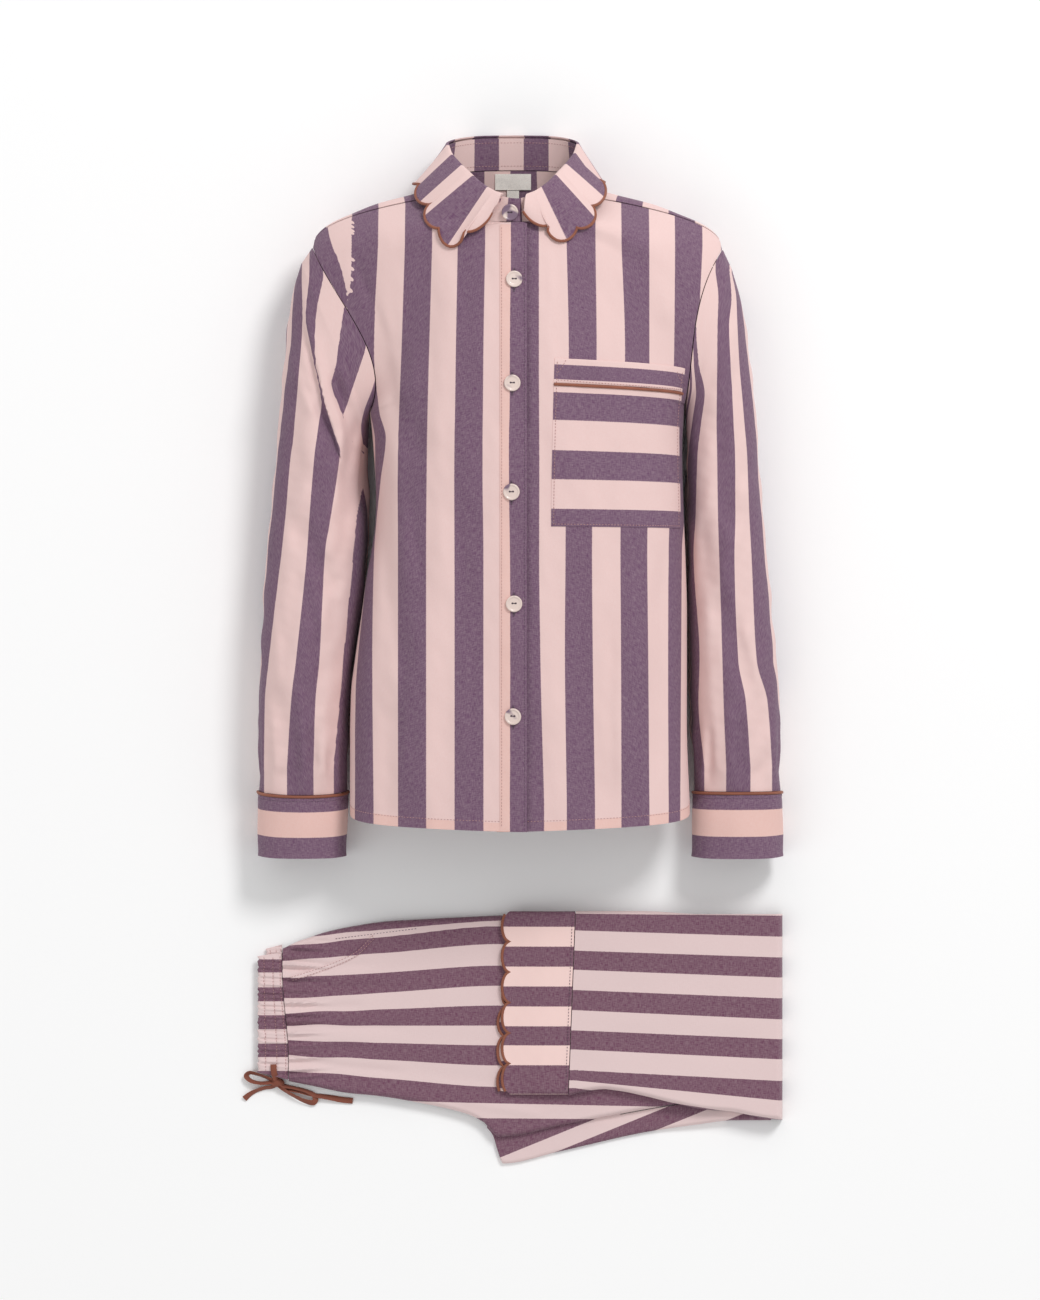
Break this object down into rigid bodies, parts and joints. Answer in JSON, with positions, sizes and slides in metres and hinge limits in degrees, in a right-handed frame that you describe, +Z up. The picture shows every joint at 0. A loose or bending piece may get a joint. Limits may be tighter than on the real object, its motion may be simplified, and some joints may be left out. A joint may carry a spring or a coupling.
{
  "type": "pyjama set",
  "caption": "Striped long-sleeved pyjama shirt with a scalloped collar, filled out and lying on its back, and matching drawstring trousers folded flat below it.",
  "frame": {"origin": "centre of the set's outline, on the surface that the set lies on", "axes": "+Z up from the surface, +Y from the trousers towards the collar, +X towards the wearer's left"},
  "size_m": [0.543, 1.0328, 0.1618],
  "materials": {
    "striped_cotton": "woven cotton in wide stripes of pale pink and dusky purple",
    "binding": "russet satin-weave binding",
    "button": "pearly",
    "label": "off-white woven tape, blank",
    "drawstring": "flat russet cotton tape"
  },
  "bodies": {
    "root": {"shirt_front_right": "striped_cotton", "shirt_front_left": "striped_cotton", "sleeve_right": "striped_cotton", "sleeve_left": "striped_cotton", "cuff_right": "striped_cotton", "cuff_left": "striped_cotton", "cuff_piping_right": "binding", "cuff_piping_left": "binding", "shirt_back": "striped_cotton", "shirt_yoke": "striped_cotton", "collar_stand": "striped_cotton", "collar_leaf": "striped_cotton", "collar_binding": "binding", "front_placket": "striped_cotton", "chest_pocket": "striped_cotton", "chest_pocket_band": "striped_cotton", "chest_pocket_piping": "binding", "button_1": "button", "button_2": "button", "button_3": "button", "button_4": "button", "button_5": "button", "button_6": "button", "neck_label": "label", "size_tab": "label", "trouser_leg_top": "striped_cotton", "trouser_leg_turned": "striped_cotton", "trouser_leg_under": "striped_cotton", "trouser_layers": "striped_cotton", "hem_band": "striped_cotton", "hem_band_under": "striped_cotton", "hem_binding": "binding", "hem_binding_under": "binding", "waistband_front": "striped_cotton", "waistband_back": "striped_cotton", "trouser_pocket_edge": "striped_cotton", "drawstring_exit": "drawstring", "drawstring_loop_right": "drawstring", "drawstring_tail_right": "drawstring", "drawstring_loop_left": "drawstring", "drawstring_tail_left": "drawstring", "drawstring_knot": "drawstring"}
  },
  "joints": []
}
